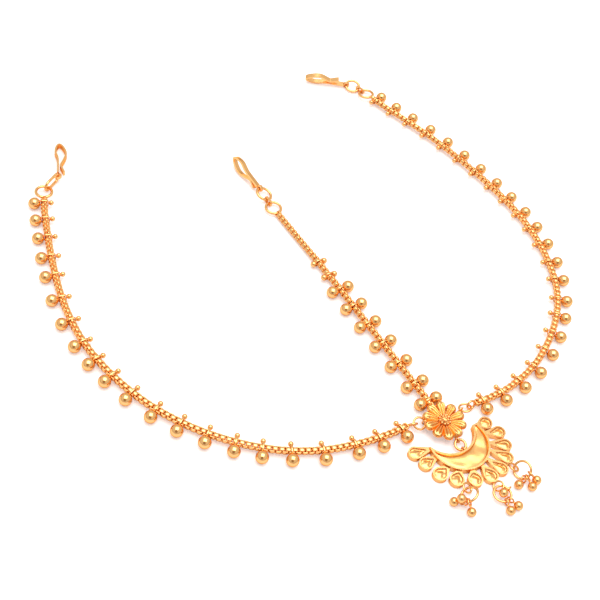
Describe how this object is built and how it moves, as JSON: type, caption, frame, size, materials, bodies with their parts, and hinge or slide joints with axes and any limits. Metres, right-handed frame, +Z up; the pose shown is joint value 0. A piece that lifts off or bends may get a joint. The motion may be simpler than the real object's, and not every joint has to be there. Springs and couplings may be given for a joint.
{
  "type": "maang tikka",
  "caption": "Gold maang tikka: flower medallion, crescent pendant with teardrop bezels and ball drops, two side chains and a crown chain with hooks.",
  "frame": {"origin": "middle of the footprint, on the surface the ornament lies on", "axes": "+Z up off the surface; the crown chain runs towards +Y from the flower, the side chains sweep out to -X and +X, the pendant hangs towards -Y"},
  "size_m": [0.1764, 0.1922, 0.0054],
  "materials": {
    "gold": "polished gold plate"
  },
  "bodies": {
    "root": {"flower_medallion": "gold", "crescent_pendant": "gold", "pendant_ring": "gold", "left_drop_ring": "gold", "left_drop_ball_1": "gold", "left_drop_ball_2": "gold", "left_drop_ball_3": "gold", "middle_drop_ring": "gold", "middle_drop_ball_1": "gold", "middle_drop_ball_2": "gold", "middle_drop_ball_3": "gold", "right_drop_ring": "gold", "right_drop_ball_1": "gold", "right_drop_ball_2": "gold", "right_drop_ball_3": "gold", "crown_chain": "gold", "crown_charms": "gold", "crown_flower_ring": "gold", "crown_end_ring": "gold", "crown_connector": "gold", "crown_hook_ring": "gold", "crown_hook": "gold", "left_chain": "gold", "left_charms": "gold", "left_flower_link": "gold", "left_flower_ring": "gold", "left_end_ring": "gold", "left_hook_ring": "gold", "left_hook": "gold", "right_chain": "gold", "right_charms": "gold", "right_flower_link": "gold", "right_flower_ring": "gold", "right_end_ring": "gold", "right_connector": "gold", "right_hook_ring": "gold", "right_hook": "gold"}
  },
  "joints": []
}
